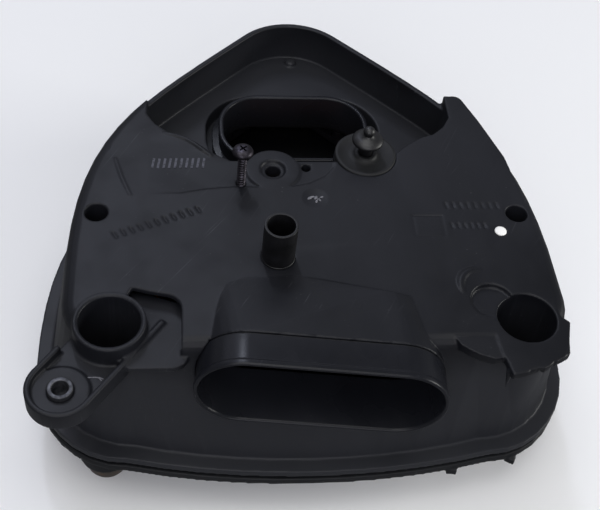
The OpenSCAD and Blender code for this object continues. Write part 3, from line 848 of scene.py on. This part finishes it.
# %% Thread and cross recess
def thread(bm, at, low, high, core, crest, pitch, steps=20):
    """A helical ridge round a vertical shank."""
    half = pitch * 0.32
    corners = [(core, low - half), (crest, low), (core, low + half)]
    verts = [bm.verts.new(mm(at[0] + r, at[1], z)) for r, z in corners]
    edges = [bm.edges.new((verts[i], verts[(i + 1) % 3])) for i in range(3)]
    turns = (high - low) / pitch
    count = int(turns * steps)
    bmesh.ops.spin(
        bm,
        geom=verts + edges,
        cent=mm(at[0], at[1]),
        axis=(0, 0, 1),
        dvec=mm(0, 0, pitch / steps),
        angle=math.tau * turns,
        steps=count,
    )
    open_ends = [e for e in bm.edges if e.is_boundary]
    bmesh.ops.holes_fill(bm, edges=open_ends, sides=3)


def cross_blade(at, z, arm_length, half_thick, depth):
    """A cross that narrows downwards, to cut a driver recess from above."""
    bm = bmesh.new()
    quarter = [(arm_length, half_thick), (half_thick, half_thick), (half_thick, arm_length)]
    outline = []
    for turn in range(4):
        c, s = round(math.cos(turn * math.pi / 2)), round(math.sin(turn * math.pi / 2))
        outline += [(x * c - y * s, x * s + y * c) for x, y in quarter]
    plate(bm, outline, -depth, depth)
    for v in bm.verts:
        if v.co.z < 0:
            v.co.x *= 0.55
            v.co.y *= 0.55
    place = Matrix.Translation(mm(at[0], at[1], z)) @ Matrix.Rotation(math.radians(38), 4, "Z")
    bmesh.ops.transform(bm, matrix=place, verts=bm.verts)
    return to_mesh(bm, "cross")


# %% Loose screw
at = (screw.x, screw.y)
crown = top("loose_screw")
point = bottom("loose_screw")
HEAD = 3.1
seat = crown - HEAD
body = bmesh.new()
head_profile = [
    (0, point), (0.7, point + 0.3), (1.75, point + 3), (1.75, seat - 0.2), (2.0, seat), (4.6, seat),
    (4.9, seat + 0.3), (4.9, seat + 1.0), (4.55, seat + 1.8), (3.7, seat + 2.5), (2.4, seat + 2.95),
    (1.0, seat + HEAD), (0, seat + HEAD),
]
turned(body, head_profile, at, 64)
screw_mesh = to_mesh(body, "screw")
screw_mesh = cut(screw_mesh, cross_blade(at, crown, 2.9, 0.55, 1.9))
finished = bmesh.new()
finished.from_mesh(screw_mesh)
thread(finished, at, point + 2.5, seat - 2.5, 1.7, 2.2, 1.5)
finished_mesh = to_mesh(finished, "screw")
show(finished_mesh, "loose_pan_head_screw", "screw", screw_steel, "loose_screw", 40)

# %% Case screws in their deep wells
pair = bmesh.new()
low, high = bottom("case_screws"), top("case_screws")
well_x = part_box("case_screws")[1].x / MM - 4.4
well_y = middle("case_screws").y
for side in (-1, 1):
    at = (side * well_x, well_y)
    shape = [
        (0, low), (1.7, low), (2.35, low + 0.8), (2.35, high - 4), (4.1, high - 4), (4.4, high - 3.7),
        (4.4, high - 0.6), (4.0, high), (2.6, high), (2.3, high - 0.3), (2.3, high - 2.4), (0, high - 2.6),
    ]
    turned(pair, shape, at, 48)
show(to_mesh(pair, "pair"), "case_long_screws", "upper", screw_steel, "case_screws")

# %% [markdown]
# ## Base cover and what it holds
# The base is the second large moulding, so it is fused and smoothed the same way. Its underside
# has shallow grooves between flat pads, which stiffen the real part.

# %% Base cover
grooves = bmesh.new()
for x in (-66, -33, 0, 33, 66):
    bar(grooves, (x, 2, 0), (3, 96, 2.2))
for y in (-46, 2, 50):
    bar(grooves, (0, y, 0), (135, 3, 2.2))
groove_mesh = through(to_mesh(grooves, "grooves"), "REMESH", mode="VOXEL", voxel_size=0.8 * MM)
base_mesh = cut(to_mesh(cad_copy("base_cover"), "base_cover_blank"), groove_mesh)
shell = bmesh.new()
shell.from_mesh(base_mesh)
# Small tabs under the flange's edge
for x, y, turn in ((-105.5, -98.5, 42), (67, -112.6, -8), (96.5, -107.4, -28)):
    bar(shell, (x, y, 25.2), (5, 3, 3.4), turn)
base_solids = bpy.data.meshes.new("base_cover_solids")
shell.to_mesh(base_solids)
shell.free()
BASE_FACES = 130000
base_skin = moulded_skin(base_solids, VOXEL * 1.1, SMOOTHING, BASE_FACES)
show(base_skin, "moulded_base_cover", "base", base_plastic, "base_cover", crease=60)


# %% Softened copies of simple parts
def softened(node, name, body, material, radius, segments=3):
    """Shows a CAD node's shape with its sharp edges rounded."""
    bm = cad_copy(node)
    bmesh.ops.dissolve_limit(bm, angle_limit=math.radians(1), verts=bm.verts, edges=bm.edges)
    soften(bm, radius, segments)
    show(to_mesh(bm, name), name, body, material, node)


softened("case_gasket", "case_gasket_ring", "base", seal_rubber, 0.7)
softened("seat_plate", "filter_seat_plate", "base", base_plastic, 0.5, 2)
softened("base_inserts", "base_thread_inserts", "base", insert_brass, 0.3, 2)
softened("flange_screws", "flange_pan_screws", "base", screw_steel, 0.35, 2)

# %% Brown bushes
sleeves = bmesh.new()
bush_top = top("frame_bushes")
for name in ("left_bush_hole", "right_bush_hole"):
    at = Vector(mounts[name]["pos_m"]).xy / MM
    bush_profile = [
        (5.2, 0.8), (5.9, 0), (7.6, 0), (9.0, 0.9), (9.7, 2.4),
        (9.7, 7.6), (9.1, 8.2), (9.1, 9.2), (9.7, 9.8),
        (9.7, 12.1), (10.4, 12.6), (10.4, bush_top), (5.9, bush_top), (5.2, bush_top - 0.8),
    ]
    turned(sleeves, bush_profile, at)
show(to_mesh(sleeves, "sleeves"), "brown_frame_bushes", "base", bush_rubber, "frame_bushes")

# %% Welded wire grid
grid = bmesh.new()
(low_x, low_y, low_z), (high_x, high_y, high_z) = [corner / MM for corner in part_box("support_grid")]
WIRE = 0.6
wires = [((low_x + high_x) / 2 + i * 12, True) for i in range(-5, 6)]
wires += [((low_y + high_y) / 2 + j * 11, False) for j in range(-3, 4)]
for place_at, runs_y in wires:
    if runs_y:
        centre, length, axis = (place_at, (low_y + high_y) / 2, low_z + WIRE * 0.8), high_y - low_y, "X"
    else:
        centre, length, axis = ((low_x + high_x) / 2, place_at, high_z - WIRE * 0.8), high_x - low_x, "Y"
    place = Matrix.Translation(mm(*centre)) @ Matrix.Rotation(math.radians(90), 4, axis)
    bmesh.ops.create_cone(
        grid,
        cap_ends=True,
        segments=12,
        radius1=WIRE * MM,
        radius2=WIRE * MM,
        depth=length * MM,
        matrix=place,
    )
show(to_mesh(grid, "grid"), "wire_support_grid", "base", grid_steel, "support_grid")

# %% [markdown]
# ## Filter element
# The frame is cast foam with soft corners and a sealing lip. The paper is one sheet folded to and
# fro, so it starts as a zigzag line, is extruded into a sheet, has its folds rounded, and only
# then gets its thickness.

# %% Foam frame
(low_x, low_y, low_z), (high_x, high_y, high_z) = [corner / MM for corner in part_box("filter_frame")]
CORNER = 5
frame_mesh = bmesh.new()
straight = ((high_x - low_x) / 2 - CORNER, (high_y - low_y) / 2 - CORNER)
frame_place = Matrix.Translation(mm((low_x + high_x) / 2, (low_y + high_y) / 2))
RIM = 4.6
frame_profile = [
    (0, low_z), (0, high_z - 5), (-0.8, high_z - 3.6), (0, high_z - 2.2), (0, high_z - 0.8), (-1.2, high_z),
    (-RIM, high_z), (-RIM, low_z),
]
oval_wall(frame_mesh, frame_profile, straight, CORNER, frame_place, 64)
soften(frame_mesh, 0.6, 3)
# The inner part of the frame is square to the pleats
for sx, sy, width, depth in ((0, 1, 132, 4.4), (0, -1, 132, 4.4), (1, 0, 4.4, 88.8), (-1, 0, 4.4, 88.8)):
    centre = ((low_x + high_x) / 2 + sx * 68.1, (low_y + high_y) / 2 + sy * 42.1, (low_z + high_z) / 2)
    bar(frame_mesh, centre, (width, depth, high_z - low_z - 1.6))
show(to_mesh(frame_mesh, "frame"), "foam_filter_frame", "element", frame_foam, "filter_frame")

# %% Pleated paper
(low_x, low_y, low_z), (high_x, high_y, high_z) = [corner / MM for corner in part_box("filter_media")]
PLEATS = 22
PAPER = 0.5
pitch = (high_x - low_x) / PLEATS
sheet = bmesh.new()
folds = []
for i in range(2 * PLEATS + 1):
    height = low_z + 1.2 if i % 2 == 0 else high_z - 0.8
    folds.append(sheet.verts.new(mm(low_x + i * pitch / 2, low_y, height)))
line = [sheet.edges.new(two) for two in zip(folds, folds[1:])]
grown = bmesh.ops.extrude_edge_only(sheet, edges=line)["geom"]
far = [g for g in grown if isinstance(g, bmesh.types.BMVert)]
bmesh.ops.translate(sheet, verts=far, vec=mm(0, high_y - low_y))
creases = [e for e in sheet.edges if len(e.link_faces) == 2]
bmesh.ops.bevel(sheet, geom=creases, offset=0.8 * MM, segments=3, profile=0.5, affect="EDGES", material=-1)
bmesh.ops.recalc_face_normals(sheet, faces=sheet.faces)
bmesh.ops.solidify(sheet, geom=sheet.faces, thickness=PAPER * MM)
paper_mesh = to_mesh(sheet, "sheet")
show(paper_mesh, "pleated_filter_paper", "element", filter_paper, "filter_media", 50)

# %% [markdown]
# ## Drain cap
# Water that gets past the mouth collects in the base and leaves by a small spigot, which a ribbed
# rubber cap closes. A spring clip with two ears holds the cap.

# %% Drain cap and clip
cap_low, cap_high = [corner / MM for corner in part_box("drain_cap")]
cap_mid = middle("drain_cap")
cap_place = Matrix.Translation(mm(cap_mid.x, cap_low.y, cap_mid.z))
lie_down = cap_place @ Matrix.Rotation(math.radians(-90), 4, "X")
length = cap_high.y - cap_low.y
cap = bmesh.new()
cap_profile = [
    (5.05, 0), (6.6, 0), (7, 0.5), (7, 1.6), (6.6, 2.0), (6.6, 3.0), (6.6, 8.2), (7, 8.8), (7, 9.8),
    (6.5, 10.4), (6.5, 11.4), (7, 12), (7, 13), (6.4, 13.8), (5.6, length - 1.6),
    (4.4, length - 0.5), (2.5, length), (0.01, length),
    (0.01, 12.3), (4.4, 12.3), (5.05, 11.7),
]
turned(cap, cap_profile, (0, 0), 64)
bmesh.ops.transform(cap, matrix=lie_down, verts=cap.verts)
show(to_mesh(cap, "cap"), "ribbed_drain_cap", "cap", seal_rubber, "drain_cap", 50)

clip = bmesh.new()
turned(clip, [(7.05, 3.4), (7.75, 3.4), (7.75, 7.8), (7.05, 7.8)], (0, 0), 64)
for side in (-1, 1):
    bar(clip, (side * 1.6, -8.9, 5.6), (0.7, 3.0, 3.6), side * 14)
soften(clip, 0.15, 2)
bmesh.ops.transform(clip, matrix=lie_down, verts=clip.verts)
show(to_mesh(clip, "clip"), "drain_spring_clip", "cap", clip_steel, "drain_clip")

# %% [markdown]
# ## Paint mark and scuffs
# A stencilled mark on the real part is replaced by a row of plain slanted dashes. The pale scuffs
# are thin slivers in their own finish: partly plastic whitened where it was knocked, partly a painted
# highlight.

# %% Paint dashes
dashes = bmesh.new()
for i in range(5):
    for lean in (-1.3, 1.3):
        bar(dashes, on_skin(-71.4 + i * 5.3 + lean, 9.4 + i * 0.15), (1.1, 6.4, 0.3), -8)
show(to_mesh(dashes, "dashes"), "painted_dashes", "upper", mark_paint)

# %% Gate scar
# The plastic was fed in here, and the sprue left torn crumbs in a shallow dish. Their pale colour is partly
# whitened plastic and partly a painted highlight, the shine the rough crumbs catch
crumbs = bmesh.new()
SCRAP_SEED = 3
scraps = random.Random(SCRAP_SEED)
for dx, dy, size in (
    (-2.4, 0.4, 0.9), (-1.0, 1.2, 0.7), (0.4, 0.6, 0.9),
    (1.9, -0.6, 0.8), (0.6, -1.6, 0.7), (3.1, 1.0, 0.6),
):
    turn = Matrix.Rotation(scraps.uniform(0, 3), 4, "Z") @ Matrix.Diagonal((1.6, 0.8, 0.5, 1))
    place = Matrix.Translation(mm(*on_skin(gate[0] + dx, gate[1] + dy, 0.1)))
    lump = bmesh.ops.create_icosphere(crumbs, subdivisions=2, radius=size * MM, matrix=place @ turn)
    for v in lump["verts"]:
        v.co += Vector([scraps.uniform(-0.08, 0.08) for _ in range(3)]) * size * MM
show(to_mesh(crumbs, "crumbs"), "gate_scar_crumbs", "upper", whitened_and_painted_shine)

# %% Scuffs
# Their pale colour is partly whitened plastic and partly a painted highlight of the arm pad's edge
scuffs = bmesh.new()
for line in (
    [(-98.4, -105.2), (-96.8, -105.0), (-95.4, -104.9), (-94, -105.1), (-92.8, -105.5), (-91.8, -106)],
    [(-94, -105.1), (-93.2, -106.1), (-92.6, -106.8)],
):
    bead(scuffs, [on_skin(x, y, 0.05) for x, y in line], 0.3, 8)
show(to_mesh(scuffs, "scuffs"), "arm_scuffs", "upper", whitened_and_painted_shine)

# %% [markdown]
# ## Floor, light and camera
# The case stands on a plain pale floor. A large soft light behind and above gives the deck its
# sheen, a narrow one beside it draws the bright line down the hood, and a broad dim one near the
# camera fills the insides of the mouth, the wells and the tray.
# Glossy black sides would mirror the whole pale floor. A photographer lays black card just out of
# view to stop that, and here the floor is simply left out of the reflections.

# %% Floor
floor_mesh = bmesh.new()
bmesh.ops.create_grid(floor_mesh, x_segments=2, y_segments=2, size=4)
floor_material, tree, shader, place = start("pale_studio_floor", Roughness=0.9)
cloudy = noise(tree, place, 300, 2)
link(tree, shader, Base_Color=blend(tree, cloudy, colour("#eeeeee"), colour("#f4f4f4")))
floor = bpy.data.objects.new("floor", to_mesh(floor_mesh, "floor"))
floor.data.materials.append(floor_material)
bpy.context.scene.collection.objects.link(floor)
floor.visible_glossy = False
print("floor ready")


# %% Lights
def soft_light(name, watts, size, direction, distance=1.6, tint="#ffffff", target=(0, 0, 60)):
    """A rectangular soft box that looks at a target from the given direction."""
    lamp = bpy.data.lights.new(name, "AREA")
    lamp.energy = watts
    lamp.shape = "RECTANGLE"
    lamp.size, lamp.size_y = size
    lamp.color = colour(tint)[:3]
    made = bpy.data.objects.new(name, lamp)
    bpy.context.scene.collection.objects.link(made)
    way = Vector(direction).normalized()
    made.location = mm(*target) + way * distance
    made.rotation_mode = "QUATERNION"
    made.rotation_quaternion = way.to_track_quat("Z", "Y")
    return made


soft_light("overhead_soft_box", 12, (1.2, 1.2), (-0.1, -0.1, 1.0))
soft_light("camera_side_fill", 10, (1.4, 1.0), (-0.1, -0.8, 0.55), tint="#f4f4fb")
soft_light("high_blue_box", 1.2, (0.6, 0.4), (-0.2, 0.5, 0.86), tint="#c9d2ff")
soft_light("back_panel", 2.5, (1.8, 0.7), (-0.15, 0.79, 0.59), tint="#e8ebff")
soft_light("window_strip", 3.0, (0.08, 0.4), (-0.13, 0.57, 0.81), tint="#e9f0ff")
soft_light("right_panel", 14, (0.8, 0.5), (0.95, -0.1, 0.25), tint="#f6f6f2")
world = bpy.data.worlds.new("studio")
bpy.context.scene.world = world
world.use_nodes = True
world.node_tree.nodes["Background"].inputs["Color"].default_value = colour("#e6e8ee")
world.node_tree.nodes["Background"].inputs["Strength"].default_value = 0.22
bpy.context.scene.view_settings.view_transform = "Standard"
print("lights:", len(bpy.data.lights))

# %% Camera
AZIMUTH, ELEVATION, ROLL = -10.31, 49.32, 7.76
DISTANCE = 544.3
TARGET = mm(-0.96, -13.85, 66)
a, e, r = [math.radians(angle) for angle in (AZIMUTH, ELEVATION, ROLL)]
back = Vector((math.sin(a) * math.cos(e), -math.cos(a) * math.cos(e), math.sin(e)))
level = Vector((math.cos(a), math.sin(a), 0))
rise = back.cross(level)
right = math.cos(r) * level + math.sin(r) * rise
up = -math.sin(r) * level + math.cos(r) * rise
lens = bpy.data.cameras.new("camera")
lens.sensor_width = 36
lens.lens = 66
lens.clip_start, lens.clip_end = 0.01, 20
camera = bpy.data.objects.new("camera", lens)
bpy.context.scene.collection.objects.link(camera)
turn = Matrix((right, up, back)).transposed().to_4x4()
camera.matrix_world = Matrix.Translation(TARGET + back * DISTANCE * MM) @ turn
bpy.context.scene.camera = camera
print("camera at", [round(v, 3) for v in camera.location])
